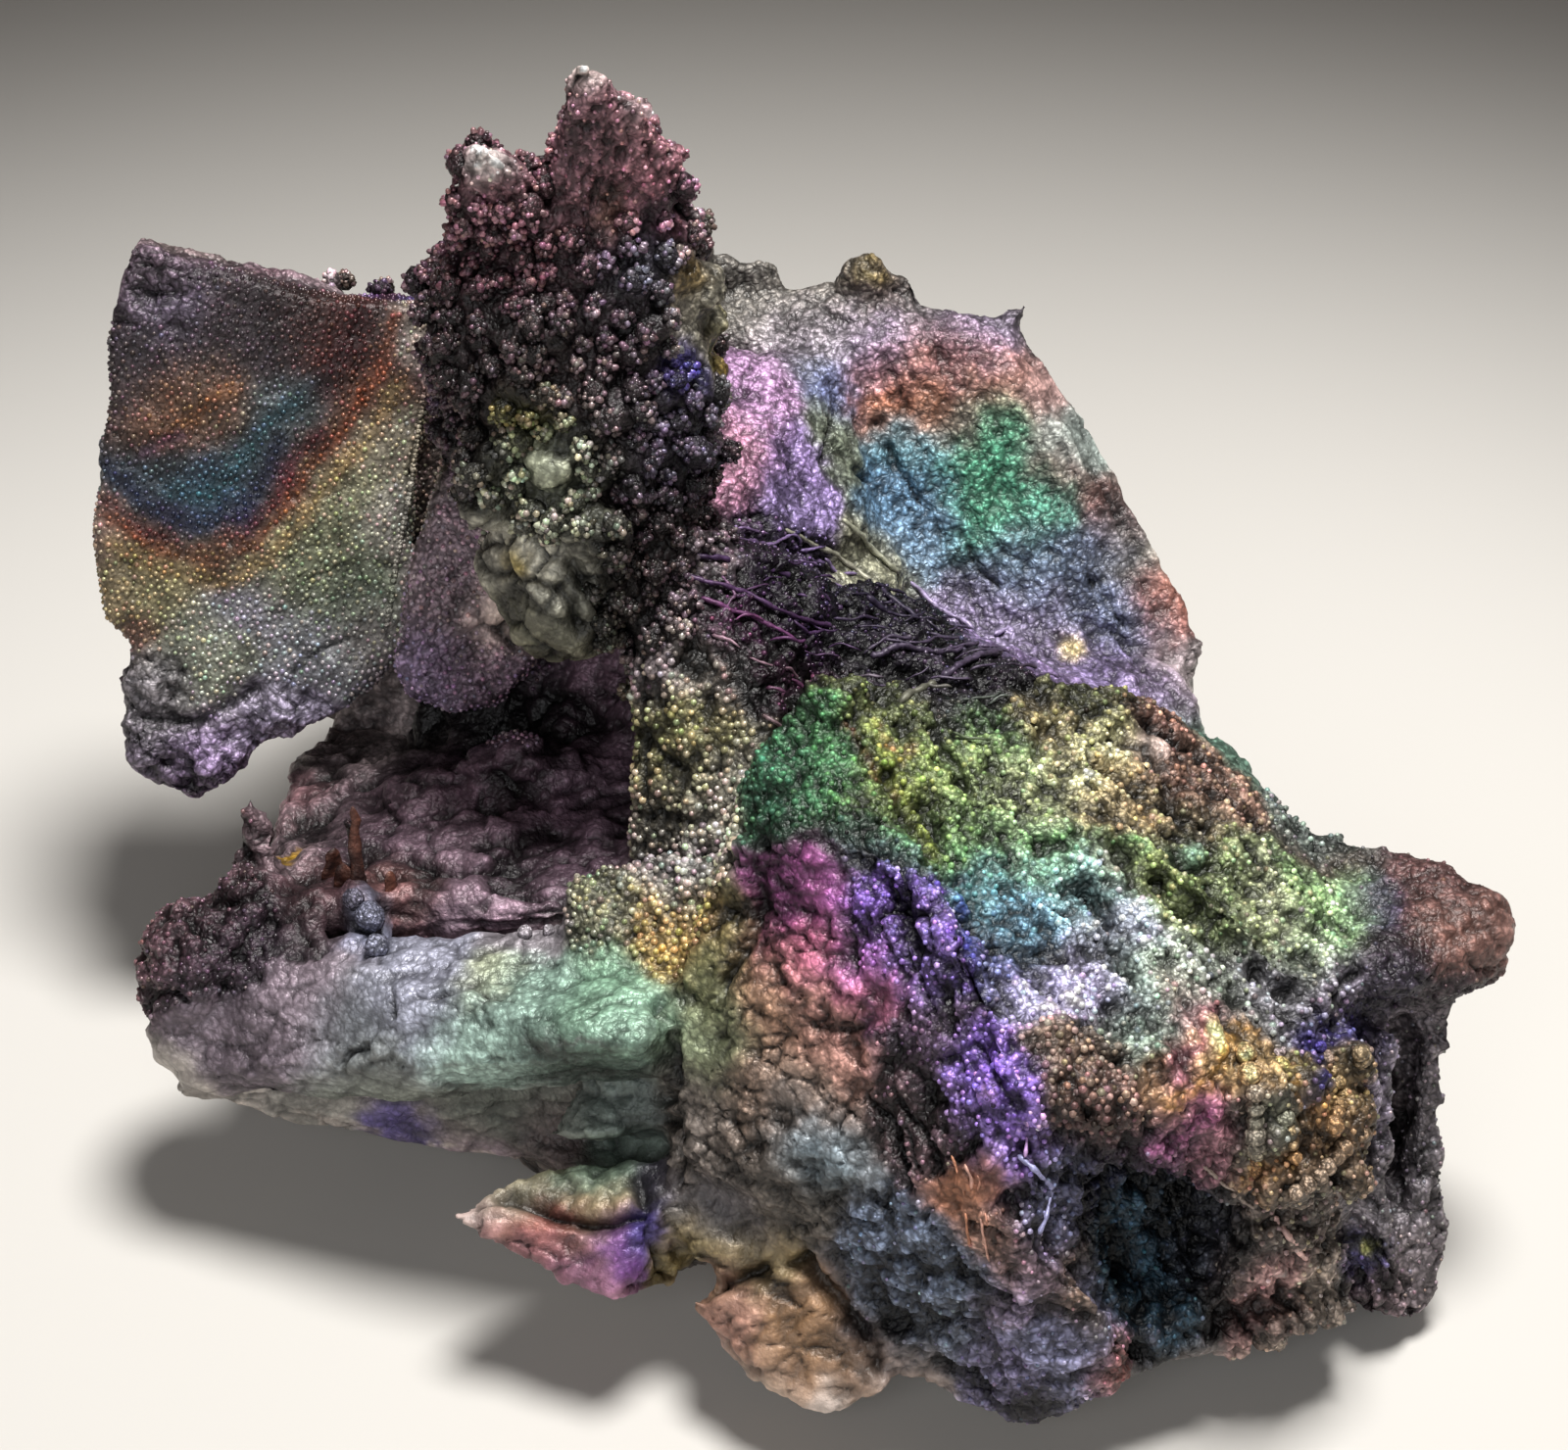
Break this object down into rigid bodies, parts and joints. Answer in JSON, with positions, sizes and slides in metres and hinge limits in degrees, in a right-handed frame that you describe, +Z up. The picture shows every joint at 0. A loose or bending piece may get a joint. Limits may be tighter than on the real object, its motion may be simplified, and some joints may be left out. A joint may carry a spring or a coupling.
{
  "type": "hematite on quartz",
  "caption": "Natural cluster of plate and box shaped quartz crystals under an iridescent, drusy hematite crust, with knobbly spires, an open cave and a broken foot.",
  "frame": {"origin": "on the surface that the specimen stands on, under the middle of its bounding box", "axes": "+X to the right as the plates and the ledge are seen, along the longest extent, +Y away from that side, +Z up"},
  "size_m": [0.0888, 0.0756, 0.0712],
  "materials": {
    "hematite_crust": "satin"
  },
  "bodies": {
    "root": {"specimen": "hematite_crust"}
  },
  "joints": []
}
